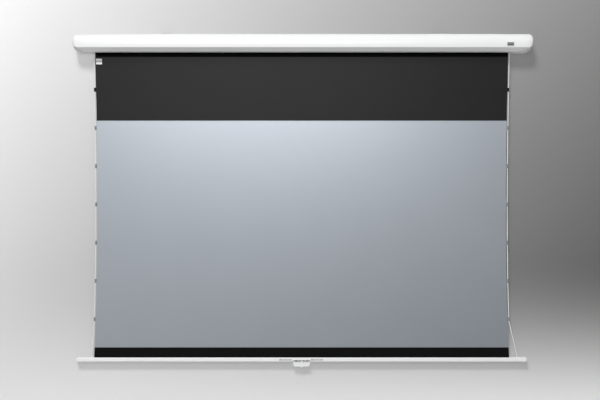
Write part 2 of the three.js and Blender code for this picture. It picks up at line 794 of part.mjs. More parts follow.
// Tabs: a strip welded to the back of the fabric, with an eye for the cord at its outer end
const eyeBore = cordRadius + clearance + runningGap;
const eyeRadius = eyeBore + tabThick;
const stripLow = fabricThick / 2;
const stripHigh = fabricThick / 2 + tabThick;
const tabSection = [
  [-cordOffset - tabGrip, stripLow],
  ...arc(0, 0, eyeRadius, halfCircle - Math.asin(stripLow / eyeRadius),
    3 * halfCircle - Math.asin(stripHigh / eyeRadius), screwSides),
  [-cordOffset - tabGrip, stripHigh],
];
const tabGeometry = sweepZ(tabSection, -tabHeight / 2, tabHeight / 2,
  [circle(eyeBore, cordSides)]);
for (const [side, sign] of sides) {
  tabZ.forEach((z, i) => add(`${side}_tab_${i + 1}`,
    sign > 0 ? tabGeometry : mirrored(tabGeometry),
    z > dropBottomZ ? blackFabric : greyFabric,
    [fabricCentreX + sign * (halfWidthAt(z) + cordOffset), fabricY, z]));
}

// Tension cords: from the roller, straight through each tab, and out to their guides in the bar
const guideTopZ = barTopZ + guideHead;
const cordFootZ = barTopZ - barWall - guideStemDepth + clearance;
function cordRoute(sign, anchorX) {
  const besideFabric = (z) => fabricCentreX + sign * (halfWidthAt(z) + cordOffset);
  return [
    [besideFabric(0), 0],
    ...tabZ.flatMap((z) => [[besideFabric(z), z + tabHeight / 2], [besideFabric(z), z - tabHeight / 2]]),
    [anchorX, guideTopZ],
    [anchorX, cordFootZ],
  ];
}
const cordGeometry = (route) => loft(route.map(([x, z]) =>
  circle(cordRadius, cordSides).map(([u, v]) => new THREE.Vector3(x + u, fabricY + v, z))));
const anchors = { left: leftAnchorX, right: rightAnchorX };
for (const [side, sign] of sides) {
  add(`${side}_tension_cord`, cordGeometry(cordRoute(sign, anchors[side])), whiteCord);
}

// Weight bar: a hollow section with a slot in its top for the hem and a notch for the handle
const barRearY = fabricY + barDepth / 2;
function roundedBox(y0, y1, z0, z1, corner) {
  const steps = arcSteps / 2;
  return [
    ...arc(y1 - corner, z0 + corner, corner, -quarterCircle, 0, steps),
    ...arc(y1 - corner, z1 - corner, corner, 0, quarterCircle, steps),
    ...arc(y0 + corner, z1 - corner, corner, quarterCircle, halfCircle, steps),
    ...arc(y0 + corner, z0 + corner, corner, halfCircle, 3 * quarterCircle, steps),
  ];
}
const barCapInnerX = { left: barLeftX + barCapLength, right: barRightX - barCapLength };
const barSkin = sweepX(roundedBox(barFrontY, barRearY, barBottomZ, barTopZ, barCorner),
  barCapInnerX.left, barCapInnerX.right, [roundedBox(
    barFrontY + barWall, barRearY - barWall, barBottomZ + barWall, barTopZ - barWall,
    barCorner - barWall)]);
const hemSlot = block(barCapInnerX.left - overrun, barCapInnerX.right + overrun,
  fabricY - barSlot / 2, fabricY + barSlot / 2,
  barTopZ - barWall - overrun, barTopZ + overrun);
const handleNotch = block(fabricCentreX - notchWidth / 2, fabricCentreX + notchWidth / 2,
  barFrontY - overrun, barFrontY + notchDepth,
  barBottomZ - overrun, barBottomZ + notchHeight);
add('weight_bar', cut(barSkin, hemSlot, handleNotch), whitePaint);

add('hem_rod', sweepX(circle(hemRodRadius, pinSides, fabricY, hemRodZ),
  fabricCentreX - halfWidthAt(imageBottomZ), fabricCentreX + halfWidthAt(imageBottomZ)), brightSteel);

// Bar end caps: a tenon inside the bar and a rounded end, bored for the adjuster screw
const barCapStationShares = [0, 0.7, 0.82, 0.91, 0.97, 1];
function barCapRing(share) {
  const along = Math.max(0, share * barCapLength - (barCapLength - barCapRound)) / barCapRound;
  const inwards = barCapRound * (1 - Math.sqrt(1 - along ** 2)) / 2;
  return roundedBox(barFrontY - barCapProud + inwards, barRearY + barCapProud - inwards,
    barBottomZ - barCapLow + inwards, barTopZ + barCapProud - inwards, barCorner)
    .map(([y, z]) => new THREE.Vector3(share * barCapLength, y, z));
}
const tenonInset = barWall + clearance;
const tenonSection = roundedBox(barFrontY + tenonInset, barRearY - tenonInset,
  barBottomZ + tenonInset, barTopZ - tenonInset, barCorner - barWall);
const tenonRing = (x) => tenonSection.map(([y, z]) => new THREE.Vector3(x, y, z));
const barCapBody = loft([
  tenonRing(-barCapTenon),
  tenonRing(0),
  ...barCapStationShares.map(barCapRing),
]);
const adjusterBore = turnX([
  [-barCapTenon - overrun, 0],
  [-barCapTenon - overrun, adjusterRadius + runningGap],
  [barCapLength - adjusterHead, adjusterRadius + runningGap],
  [barCapLength - adjusterHead, adjusterHeadRadius + runningGap],
  [barCapLength + overrun, adjusterHeadRadius + runningGap],
  [barCapLength + overrun, 0],
], screwSides).translate(0, fabricY, adjusterZ);
const barCap = cut(barCapBody, adjusterBore);
add('right_bar_cap', barCap, whitePlastic, [barCapInnerX.right, 0, 0]);
add('left_bar_cap', mirrored(barCap), whitePlastic, [barCapInnerX.left, 0, 0]);

// Cord guides in the bar's slot, tension blocks inside the bar and the screws that move them
const guideBody = joined(
  block(-guideLength / 2, guideLength / 2, -guideWidth / 2, guideWidth / 2, barTopZ, guideTopZ),
  block(-guideStem / 2, guideStem / 2, -barSlot / 2 + clearance, barSlot / 2 - clearance,
    barTopZ - barWall - guideStemDepth, barTopZ + guideHead / 2));
const guide = cut(guideBody, sweepZ(circle(guideBore, cordSides),
  barTopZ - barWall - guideStemDepth - overrun, guideTopZ + overrun));
const blockGeometry = sweepX(rectangle(-blockWidth / 2, blockWidth / 2, -blockHeight / 2, blockHeight / 2),
  -blockLength / 2, blockLength / 2, [circle(adjusterRadius + runningGap, screwSides)]);
for (const [side, sign] of sides) {
  const blockX = anchors[side] - blockOffset;
  const seatX = (sign > 0 ? barRightX : barLeftX) - sign * adjusterHead;
  const tipX = blockX - sign * (blockLength / 2 + blockTravel);
  const length = Math.abs(seatX - tipX);
  add(`${side}_cord_guide`, guide, whitePlastic, [anchors[side], fabricY, 0]);
  add(`${side}_tension_block`, blockGeometry, zincSteel, [blockX, fabricY, adjusterZ]);
  const screw = cut(turnX([
    [-length, 0],
    [-length, adjusterRadius],
    [0, adjusterRadius],
    [0, adjusterHeadRadius],
    [adjusterHead, adjusterHeadRadius],
    [adjusterHead, 0],
  ], screwSides), block(adjusterHead - driveSlotDepth, adjusterHead + overrun,
    -adjusterHeadRadius - overrun, adjusterHeadRadius + overrun,
    -driveSlotWidth / 2, driveSlotWidth / 2));
  add(`${side}_tension_screw`, sign > 0 ? screw : mirrored(screw), brightSteel,
    [seatX, fabricY, adjusterZ]);
}

// Handle clip in the bar's notch, its pin, and the pull handle that hangs on it
const clipHalf = notchWidth / 2 - clearance;
const clipRearY = barFrontY + notchDepth - clearance;
const clipTopZ = barBottomZ + notchHeight - clearance;
const clipShell = cut(
  block(fabricCentreX - clipHalf, fabricCentreX + clipHalf,
    barFrontY + clearance, clipRearY, barBottomZ + clearance, clipTopZ),
  block(fabricCentreX - clipHalf + clipWall, fabricCentreX + clipHalf - clipWall,
    barFrontY - overrun, clipRearY - clipWall, barBottomZ - overrun, clipTopZ - clipWall),
  sweepX(circle(pinRadius + clearance, screwSides, pinY, pinZ),
    fabricCentreX - clipHalf - overrun, fabricCentreX + clipHalf + overrun));
add('handle_clip', clipShell, darkPlastic);
add('handle_pin', sweepX(circle(pinRadius, screwSides, pinY, pinZ),
  fabricCentreX - clipHalf, fabricCentreX + clipHalf), brightSteel);

const armHalf = clipHalf - clipWall - runningGap;
const gripBottomZ = gripTopZ - gripHeight;
const gripSide = [
  [gripHalfWidth, gripTopZ],
  [gripHalfWidth, gripTopZ - gripShoulder],
  ...arc(gripHalfWidth - gripTaper - gripCorner, gripBottomZ + gripCorner, gripCorner,
    0, -quarterCircle, arcSteps / 2),
  [nubHalfWidth, gripBottomZ],
  [nubHalfWidth / 2, gripBottomZ - nubHeight / 2],
  [nubTipHalfWidth, gripBottomZ - nubHeight],
];
const gripPlate = sweepY([
  ...gripSide,
  ...gripSide.map(([x, z]) => [-x, z]).reverse(),
], pinY + gripThick / 2, pinY - gripThick / 2);
const knuckleSpans = [
  [-armHalf, -armHalf + endKnuckle],
  [-ribOffset - ribKnuckle / 2, -ribOffset + ribKnuckle / 2],
  [-centreKnuckle / 2, centreKnuckle / 2],
  [ribOffset - ribKnuckle / 2, ribOffset + ribKnuckle / 2],
  [armHalf - endKnuckle, armHalf],
];
const knuckles = knuckleSpans.flatMap(([x0, x1]) => [
  sweepX(circle(knuckleRadius, screwSides, pinY, pinZ), x0, x1),
  block(x0, x1, pinY - gripThick / 2 + clearance, pinY + gripThick / 2 - clearance,
    gripTopZ - clearance, pinZ),
]);
const pinBore = sweepX(circle(pinRadius + clearance, screwSides, pinY, pinZ),
  -gripHalfWidth - overrun, gripHalfWidth + overrun);
add('pull_handle', cut(joined(gripPlate, ...knuckles), pinBore), whitePlastic,
  [fabricCentreX, 0, 0]);

// Plain badge that follows the curve of the front cover
const badgeRightX = caseEndX - badgeInset;
const skinAt = (z, inset) => {
  const rise = z > shoulderZ ? upperRise - inset : lowerBulge;
  return arcY - (frontReach - inset) * Math.sqrt(1 - ((z - shoulderZ) / rise) ** 2);
};
const badgeLowZ = bottomZ + badgeRise;
const badgeLevels = Array.from({ length: lowerArcSteps + 1 }, (_, i) =>
  badgeLowZ + badgeHeight * i / lowerArcSteps);
add('badge_plate', sweepX([
  ...badgeLevels.map((z) => [skinAt(z, -clearance - badgeThick), z]),
  ...badgeLevels.map((z) => [skinAt(z, -clearance), z]).reverse(),
], badgeRightX - badgeWidth, badgeRightX), badgeGrey);

export default screen;
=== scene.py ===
import math
import bpy
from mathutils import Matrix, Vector


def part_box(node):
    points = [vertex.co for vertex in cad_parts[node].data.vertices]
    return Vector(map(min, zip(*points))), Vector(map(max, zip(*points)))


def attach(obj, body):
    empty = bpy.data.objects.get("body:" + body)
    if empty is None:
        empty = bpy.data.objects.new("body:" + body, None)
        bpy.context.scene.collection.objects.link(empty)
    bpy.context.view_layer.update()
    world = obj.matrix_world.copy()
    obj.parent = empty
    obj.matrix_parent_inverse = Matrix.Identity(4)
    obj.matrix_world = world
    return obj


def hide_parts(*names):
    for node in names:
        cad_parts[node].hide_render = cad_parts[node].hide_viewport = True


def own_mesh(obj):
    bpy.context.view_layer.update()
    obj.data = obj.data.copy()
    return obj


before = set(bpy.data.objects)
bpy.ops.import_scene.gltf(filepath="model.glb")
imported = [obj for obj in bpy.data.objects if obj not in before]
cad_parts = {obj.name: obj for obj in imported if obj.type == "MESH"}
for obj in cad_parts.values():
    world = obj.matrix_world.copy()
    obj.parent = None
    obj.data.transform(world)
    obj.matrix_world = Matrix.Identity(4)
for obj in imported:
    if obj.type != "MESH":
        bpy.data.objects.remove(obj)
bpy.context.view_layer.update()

# Camera
# It stands straight in front of the screen, a finger's width left of its middle and level with
# half its height, and looks at the wall squarely.
lens = bpy.data.cameras.new("camera")
lens.lens = 58.5
camera = bpy.data.objects.new("camera", lens)
camera.location = (-0.0134, -4.524, -0.7198)
camera.rotation_euler = (math.radians(90), 0, 0)
bpy.context.scene.collection.objects.link(camera)
bpy.context.scene.camera = camera
bpy.context.scene.view_settings.view_transform = "Standard"

# Studio light
# One large soft lamp hangs high, far off and to the left, and is left out of reflections. A second
# one in front gives the grey cloth its sheen, and a weak one lights the back. In reflections the
# room is lighter towards its upper left.


def soft_lamp(name, place, aim, width, height, power):
    lamp = bpy.data.lights.new(name, "AREA")
    lamp.shape = "RECTANGLE"
    lamp.size, lamp.size_y, lamp.energy = width, height, power
    stand = bpy.data.objects.new(name, lamp)
    stand.location = place
    stand.rotation_euler = (Vector(aim) - Vector(place)).to_track_quat("-Z", "Y").to_euler()
    stand.visible_camera = False
    bpy.context.scene.collection.objects.link(stand)
    return stand


high_lamp = soft_lamp("high_lamp", (-1.5, -5.6, 5.6), (-0.1, 0, -0.6), 2.2, 1.6, 500)
high_lamp.visible_glossy = False
soft_lamp("front_lamp", (-0.35, -4.2, 0.6), (-0.1, 0, -0.5), 2.7, 0.6, 40)
soft_lamp("back_lamp", (0, 3.0, 0.5), (0, 0, -0.7), 3.0, 2.0, 40)


def tone(red, green, blue):
    """A colour as a screen shows it, from 0 to 255, as the linear colour that a shader takes."""
    return (*(v / 12.92 if v <= 0.04045 else ((v + 0.055) / 1.055) ** 2.4
              for v in (red / 255, green / 255, blue / 255)), 1)


class Signal:
    """A socket of one node tree. Python's operators on it add Math nodes, and node adds any other."""

    def __init__(self, tree, socket=None):
        self.tree, self.socket = tree, socket

    def node(self, kind, settings, sockets, result=0):
        made = self.tree.nodes.new(kind)
        for name, value in settings.items():
            setattr(made, name, value)
        for name, value in sockets.items():
            if isinstance(value, Signal):
                self.tree.links.new(value.socket, made.inputs[name])
            else:
                made.inputs[name].default_value = value
        return Signal(self.tree, made.outputs[result])

    def maths(self, operation, *values):
        return self.node("ShaderNodeMath", {"operation": operation}, dict(enumerate(values)))

    def blend(self, share, low, high):
        return self.node("ShaderNodeMix", {"data_type": "RGBA"}, {0: share, 6: low, 7: high}, 2)

    def parts(self):
        """The X, Y and Z of a place."""
        return [self.node("ShaderNodeSeparateXYZ", {}, {0: self}, i) for i in range(3)]

    def feed(self, target, socket):
        self.tree.links.new(self.socket, target.inputs[socket])

    def __add__(self, other):
        return self.maths("ADD", self, other)

    def __radd__(self, other):
        return self.maths("ADD", other, self)

    def __sub__(self, other):
        return self.maths("SUBTRACT", self, other)

    def __rsub__(self, other):
        return self.maths("SUBTRACT", other, self)

    def __mul__(self, other):
        return self.maths("MULTIPLY", self, other)

    def __rmul__(self, other):
        return self.maths("MULTIPLY", other, self)

    def __truediv__(self, other):
        return self.maths("DIVIDE", self, other)

    def __rtruediv__(self, other):
        return self.maths("DIVIDE", other, self)

    def __pow__(self, other):
        return self.maths("POWER", self, other)

    def __gt__(self, other):
        return self.maths("GREATER_THAN", self, other)

    def __lt__(self, other):
        return self.maths("LESS_THAN", self, other)


room = bpy.data.worlds.new("room")
room.use_nodes = True
bpy.context.scene.world = room
room_light = Signal(room.node_tree)
background = room.node_tree.nodes["Background"]
background.inputs["Color"].default_value = (1, 1, 1, 1)
camera_ray, glossy_ray = [room_light.node("ShaderNodeLightPath", {}, {}, kind)
                          for kind in ("Is Camera Ray", "Is Glossy Ray")]
right, _, above = room_light.node("ShaderNodeTexCoord", {}, {}, "Generated").parts()
mirrored = room_light.node("ShaderNodeClamp", {}, {
    "Value": 0.6 + 1.1 * above - 0.8 * right, "Min": 0.05, "Max": 0.75})
backdrop, fill = 0.5, 0.13
strength = camera_ray * backdrop + glossy_ray * mirrored + (1 - camera_ray - glossy_ray) * fill
strength.feed(background, "Strength")

# Wall and floor
# A plain plastered wall carries the brackets. Its colour holds painted light, lightest at its upper left
# and towards the floor. It is left out of reflections and is seen from the front only. The floor is plain
# and pale.


def alone(piece=None):
    """Deselects everything, and then selects one object and makes it active."""
    if bpy.context.object and bpy.context.object.mode != "OBJECT":
        bpy.ops.object.mode_set(mode="OBJECT")
    bpy.ops.object.select_all(action="DESELECT")
    if piece:
        piece.select_set(True)
        bpy.context.view_layer.objects.active = piece


def settled(piece, name):
    """Names a new piece and puts its place, turn and size in its mesh."""
    alone(piece)
    piece.name = piece.data.name = name
    bpy.ops.object.transform_apply(location=True, rotation=True, scale=True)
    return piece


def new_finish(name, values):
    """A new material with these uniform values, its signals and its shader."""
    finish = bpy.data.materials.new(name)
    finish.use_nodes = True
    shader = finish.node_tree.nodes["Principled BSDF"]
    for socket, value in values.items():
        shader.inputs[socket].default_value = value
    return finish, Signal(finish.node_tree), shader


def soft_step(value, low, high):
    """From 0 at one value to 1 at another, with soft ends."""
    return value.node("ShaderNodeMapRange", {"interpolation_type": "SMOOTHSTEP"},
                      {"Value": value, "From Min": low, "From Max": high})


def noise(place, scale, detail=2):
    return place.node("ShaderNodeTexNoise", {}, {"Vector": place, "Scale": scale, "Detail": detail})


alone()
bpy.ops.mesh.primitive_plane_add(size=1, location=(0, 0.001, 0.4), rotation=(math.radians(90), 0, 0))
bpy.ops.transform.resize(value=(12, 1, 5))
wall = settled(bpy.context.object, "wall")
plaster, signal, shader = new_finish("plaster", {"Roughness": 0.9, "Specular IOR Level": 0.1})
place = signal.node("ShaderNodeTexCoord", {}, {}, "Object")
across, _, up = place.parts()

# Its tone, of 255, is painted light: it falls evenly with each metre to the right and downwards, and
# goes over to an even one towards its foot
darkest, foot_tone, lightest = 100, 225, 252
upper_share = soft_step(up, -1.7598, -0.9752)
upper_tone = 190.68 - 39.2 * across + 34.46 * up
shown = upper_tone * upper_share + foot_tone * (1 - upper_share)
shown = signal.maths("MINIMUM", signal.maths("MAXIMUM", shown, darkest), lightest)
plaster_and_painted_light = ((shown / 255 + 0.055) / 1.055) ** 2.4 * (0.99 + 0.02 * noise(place, 220, 3))

# The lamps fall off over the wall, so its colour is divided by their light. The rest of the tone
# glows, so that shadows stay soft.
sideways, upwards = (across + 0.528) / 3.131, (up - 1.206) / 3.801
lamp_light = 0.122 + 0.993 / (sideways * sideways + upwards * upwards + 1) ** 0.694
lit_share = 0.62
(lit_share * plaster_and_painted_light / lamp_light).feed(shader, "Base Color")
((1 - lit_share) * plaster_and_painted_light).feed(shader, "Emission Color")
shader.inputs["Emission Strength"].default_value = 1


def clear_from_behind(signal, shader):
    """Lets the camera look through the back of a wall or floor."""
    shown_side = signal.node("ShaderNodeMixShader", {}, {
        0: signal.node("ShaderNodeNewGeometry", {}, {}, "Backfacing"),
        1: Signal(signal.tree, shader.outputs[0]),
        2: signal.node("ShaderNodeBsdfTransparent", {}, {})})
    shown_side.feed(signal.tree.nodes["Material Output"], "Surface")


clear_from_behind(signal, shader)
wall.data.materials.append(plaster)
wall.visible_diffuse = wall.visible_glossy = wall.visible_transmission = wall.visible_shadow = False

alone()
bpy.ops.mesh.primitive_plane_add(size=14, location=(0, 0, -2.05))
floor = settled(bpy.context.object, "floor")
pale, signal, shader = new_finish("pale_floor", {"Base Color": (0.72, 0.72, 0.71, 1), "Roughness": 0.8})
clear_from_behind(signal, shader)
floor.data.materials.append(pale)
floor.visible_glossy = False

# Wall brackets
# Two angles of zinc plated steel. A screw goes through each into the wall or the ceiling, and the
# T shaped head runs in the rail at the back of the housing. Only the arms' tips show from the front.


def even_shading(piece, angle):
    """Smooth rounded edges beside faces that look flat."""
    alone(piece)
    bpy.ops.object.shade_smooth_by_angle(angle=math.radians(angle))
    flats = piece.modifiers.new("flats", "WEIGHTED_NORMAL")
    flats.keep_sharp = True
    bpy.ops.object.modifier_apply(modifier=flats.name)


def eased(node, name, body, finish, edge, angle=35):
    """A copy of a CAD solid whose sharp edges are rounded over, in a finish."""
    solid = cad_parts[node]
    piece = bpy.data.objects.new(name, solid.data.copy())
    bpy.context.scene.collection.objects.link(piece)
    alone(piece)
    bpy.ops.object.mode_set(mode="EDIT")
    bpy.ops.mesh.select_all(action="SELECT")
    bpy.ops.mesh.remove_doubles(threshold=0.00001)
    bpy.ops.mesh.dissolve_limited(angle_limit=math.radians(0.5))
    bpy.ops.object.mode_set(mode="OBJECT")
    rounding = piece.modifiers.new("edge", "BEVEL")
    rounding.width, rounding.segments, rounding.limit_method = edge, 2, "ANGLE"
    rounding.angle_limit = math.radians(angle)
    bpy.ops.object.modifier_apply(modifier=rounding.name)
    even_shading(piece, angle)
    piece.data.materials.clear()
    piece.data.materials.append(finish)
    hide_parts(node)
    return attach(piece, body)


def object_place(signal, stretch=(1, 1, 1)):
    """Object coordinates, stretched where a finish runs along the piece."""
    place = signal.node("ShaderNodeTexCoord", {}, {}, "Object")
    return signal.node("ShaderNodeMapping", {}, {"Vector": place, "Scale": stretch})


def relief(shader, height, strength, distance):
    """Gives a finish the bump of a height."""
    bump = height.node("ShaderNodeBump", {}, {
        "Strength": strength, "Distance": distance, "Height": height})
    bump.feed(shader, "Normal")


def surface(signal, shader, colours, rough, height, scale, strength, stretch=(1, 1, 1)):
    """Fine variation of colour, gloss and height, at one scale per metre."""
    place = object_place(signal, stretch)
    cloud, grain = noise(place, scale / 9, 3), noise(place, scale, 4)
    signal.blend(0.6 * cloud + 0.4 * grain, *colours).feed(shader, "Base Color")
    (rough[0] + (rough[1] - rough[0]) * cloud).feed(shader, "Roughness")
    relief(shader, grain, strength, height)


zinc, signal, shader = new_finish("zinc_plate", {"Metallic": 0.9})
surface(signal, shader, (tone(158, 162, 166), tone(188, 191, 194)), (0.34, 0.5), 0.0001, 700, 0.1)
for side in ("left", "right"):
    eased(f"{side}_wall_bracket", f"{side}_bracket", "housing", zinc, 0.0004)

# Housing
# Three aluminium extrusions lock together along their length: a rear section with the bracket
# rail, a curved front, and the slanted lower front. All are powder coated glossy white.
coat, signal, shader = new_finish("white_powder_coat", {"Coat Weight": 0.25, "Coat Roughness": 0.12})
surface(signal, shader, (tone(243, 244, 244), tone(245, 246, 246)), (0.27, 0.285), 0.00002, 650, 0.03)
eased("rear_housing", "rear_section", "housing", coat, 0.0004)
eased("front_cover", "curved_front", "housing", coat, 0.0005)
eased("lower_front_rail", "lower_front", "housing", coat, 0.0005)

# Roller and spring motor
# An aluminium tube turns on two nylon plugs. The left plug runs on a steel shaft that the end
# plate holds still, with the drive spring wound on it, a ratchet disc and two pawls.


def dressed(node, finish):
    """Gives a CAD solid that lies inside a finish of its own."""
    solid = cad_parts[node]
    solid.data.materials.clear()
    solid.data.materials.append(finish)


plain_steel, signal, shader = new_finish("turned_steel", {"Metallic": 1})
surface(signal, shader, (tone(180, 183, 186), tone(206, 208, 210)), (0.22, 0.38), 0.00004, 900, 0.08,
        (0.2, 1, 1))
tube_metal, signal, shader = new_finish("drawn_aluminium", {"Metallic": 0.9})
surface(signal, shader, (tone(170, 172, 175), tone(192, 194, 196)), (0.36, 0.52), 0.00005, 800, 0.1,
        (0.04, 1, 1))
nylon, signal, shader = new_finish("grey_nylon", {})
surface(signal, shader, (tone(134, 137, 139), tone(148, 151, 153)), (0.42, 0.56), 0.00008, 600, 0.12)
spring_wire, signal, shader = new_finish("spring_wire", {"Metallic": 0.9})
surface(signal, shader, (tone(70, 73, 77), tone(98, 101, 105)), (0.36, 0.55), 0.00005, 900, 0.1)
for node, finish in (
        ("left_end_plate", zinc), ("right_end_plate", zinc),
        ("left_plate_screw_upper", plain_steel), ("left_plate_screw_lower", plain_steel),
        ("right_plate_screw_upper", plain_steel), ("right_plate_screw_lower", plain_steel),
        ("roller_tube", tube_metal), ("idle_plug", nylon), ("drive_plug", nylon),
        ("shaft_bush", nylon), ("spring_shaft", plain_steel),
        ("drive_spring", spring_wire), ("ratchet_disc", zinc), ("upper_pawl", zinc),
        ("lower_pawl", zinc), ("idle_pin", plain_steel), ("hem_rod", plain_steel),
        ("left_tension_block", zinc), ("right_tension_block", zinc)):
    dressed(node, finish)

# End caps
# Two caps of moulded white plastic are rounded towards their ends, sit over the ends of the housing,
# and are held by a screw in the middle of each.
moulding, signal, shader = new_finish("white_moulding", {"Coat Weight": 0.1, "Coat Roughness": 0.15})
surface(signal, shader, (tone(241, 242, 242), tone(244, 245, 245)), (0.3, 0.33), 0.00004, 1400, 0.05)
for side in ("left", "right"):
    eased(f"{side}_end_cap", f"{side}_cap", "housing", moulding, 0.0004, 40)
    eased(f"{side}_cap_screw", f"{side}_cap_fixing", "housing", plain_steel, 0.0002)

# Badge
# A plain two tone plate is glued to the right end of the curved front, inside a thin pale border.
badge_low, badge_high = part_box("badge_plate")
badge_face, signal, shader = new_finish("badge_face", {"Roughness": 0.38})
across, _, up = signal.node("ShaderNodeTexCoord", {}, {}, "Object").parts()
grain = noise(object_place(signal, (0.05, 1, 1)), 1500)
badge_middle = (badge_low + badge_high) / 2
border_width, dark_height = 0.0022, 0.0065
from_middle_x = signal.maths("ABSOLUTE", across - badge_middle.x)
from_middle_z = signal.maths("ABSOLUTE", up - badge_middle.z)
border = signal.maths("MAXIMUM", from_middle_x > (badge_high.x - badge_middle.x - border_width),
                      from_middle_z > (badge_high.z - badge_middle.z - border_width))
light_field = signal.blend(grain, tone(116, 118, 122), tone(130, 132, 136))
field = signal.blend(up > (badge_low.z + dark_height), tone(66, 66, 70), light_field)
signal.blend(border, field, tone(228, 229, 230)).feed(shader, "Base Color")
relief(shader, border + 0.1 * grain, 0.15, 0.0002)
eased("badge_plate", "badge", "housing", badge_face, 0.0003)

# Screen fabric
# Three lengths of coated cloth, welded end to end: a black drop from the roller, the grey viewing
# surface, and a black hem that loops round a rod. Side cords pull it flat, so it is drawn in
# at the waist and between the tabs.
cloth_x, cloth_y, cloth_thick = -0.006, -0.024, 0.0006
cloth_steps = 24
roll_foot, drop_end, picture_end, bar_top = -0.03, -0.354, -1.4, -1.446
waist, waist_half = -0.812, 0.9435
upper_flare, upper_end, lower_flare = 0.0095, -0.041, 0.014
tab_bow = 0.0012
tab_count, first_row = 7, -0.211
tab_pitch = (first_row - bar_top) / tab_count
tab_rows = [first_row - i * tab_pitch for i in range(tab_count)]


def half_width(z):
    """Half the cloth's width at a height, without the bows between its tabs."""
    flare, end = (upper_flare, upper_end) if z > waist else (lower_flare, bar_top)
    return waist_half + flare * ((z - waist) / (end - waist)) ** 2


def edge_width(z):
    """Half the cloth's width at a height, as its edge runs."""
    if not tab_rows[-1] < z < tab_rows[0]:
        return half_width(z)
    return half_width(z) - tab_bow * abs(math.sin((z - first_row) / tab_pitch * math.pi))


def pattern_kept(piece):
    """Keeps each corner's rest place as an attribute, so that a pattern stays on the cloth."""
    rest = piece.data.attributes.new("rest", "FLOAT_VECTOR", "POINT")
    for corner, kept in zip(piece.data.vertices, rest.data):
        kept.vector = corner.co
    return piece


def rising(piece):
    """Keeps a piece's rest places, hangs it on the housing and gives it a mesh of its own."""
    pattern_kept(piece)
    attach(piece, "housing")
    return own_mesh(piece)


def bent_sheet(name, steps, rows, shape, thick, *finishes):
    """A thin sheet whose corners lie at shape(u, v), from 0 to 1 each, with any second finish on
    its back."""
    alone()
    bpy.ops.mesh.primitive_grid_add(x_subdivisions=steps, y_subdivisions=rows, size=2)
    piece = settled(bpy.context.object, name)
    for corner in piece.data.vertices:
        corner.co = shape((corner.co.x + 1) / 2, (corner.co.y + 1) / 2)
    for finish in finishes:
        piece.data.materials.append(finish)
    both_sides = piece.modifiers.new("thickness", "SOLIDIFY")
    both_sides.thickness, both_sides.offset = thick, 0
    both_sides.material_offset = len(finishes) - 1
    bpy.ops.object.modifier_apply(modifier=both_sides.name)
    bpy.ops.object.shade_smooth_by_angle(angle=math.radians(35))
    return piece


def cloth(name, node, top, bottom, rows, slot, *finishes):
    """One length of cloth between two heights, its edges drawn in by the cords."""
    def drawn_in(u, v):
        z = bottom + (top - bottom) * v
        return cloth_x + (2 * u - 1) * edge_width(z), cloth_y, z
    piece = bent_sheet(name, cloth_steps, rows, drawn_in, cloth_thick, *finishes)
    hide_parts(node)
    slices = 400
    step = (top - bottom) / slices
    area = sum(2 * edge_width(bottom + (i + 0.5) * step) * step for i in range(slices))
    widest = 2 * max(edge_width(top), edge_width(bottom))
    if top > roll_foot:
        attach(pattern_kept(piece), "housing")
    else:
        rising(piece)
    return piece, (widest, top - bottom), area


def kept_place(signal):
    """The place on a cloth or cord at rest."""
    return signal.node("ShaderNodeAttribute", {"attribute_name": "rest"}, {}, "Vector")


def coated_cloth(name, values, tones, rough, threads, shade_paint_from=1):
    """Woven cloth under a matt coating, its pattern fixed to the cloth. Above a height it is painted
    black and fully rough, as painted shade.
    """
    finish, signal, shader = new_finish(name, values)
    place = kept_place(signal)
    across, _, up = place.parts()
    grain, cloud = noise(place, 1000, 3), noise(place, 5)
    # Painted shade: above the given height the colour goes to black and the roughness goes to 1
    shade_paint = soft_step(up, shade_paint_from, shade_paint_from + 0.004)
    colour = signal.blend(0.4 * grain + 0.6 * cloud, *tones)
    signal.blend(shade_paint, colour, (0, 0, 0, 1)).feed(shader, "Base Color")
    roughness = rough[0] + (rough[1] - rough[0]) * cloud
    (roughness + shade_paint * (1 - roughness)).feed(shader, "Roughness")
    weave = signal.maths("SINE", threads * across) * signal.maths("SINE", threads * up)
    relief(shader, 0.4 * weave + grain, 0.22, 0.0001)
    return finish


# The top of the drop is painted black and fully rough in a strip under the slot, as a painted shadow of
# the housing
shade_paint_end = -0.0615
drop_cloth = coated_cloth("drop_cloth", {"Specular IOR Level": 0.27},
                          (tone(17, 17, 19), tone(24, 24, 26)), (0.42, 0.46), 6000, shade_paint_end)
head, head_cut, head_area = cloth("drop_head", "drop_fabric", 0, roll_foot, 2, "black_fabric",
                                  drop_cloth)
drop, drop_cut, drop_area = cloth("black_drop", "drop_fabric", roll_foot, drop_end, 16, "black_fabric",
                                  drop_cloth)

viewing_cloth = coated_cloth("viewing_cloth", {"Metallic": 0.75},
                             ((0.428, 0.463, 0.508, 1), (0.455, 0.491, 0.538, 1)), (0.385, 0.405), 5200)
black_backing = coated_cloth("black_backing", {"Specular IOR Level": 0.2},
                             (tone(30, 30, 32), tone(38, 38, 40)), (0.62, 0.72), 5200)
picture, picture_cut, picture_area = cloth("viewing_surface", "viewing_fabric", drop_end, picture_end, 60,
                                           "grey_fabric", viewing_cloth, black_backing)

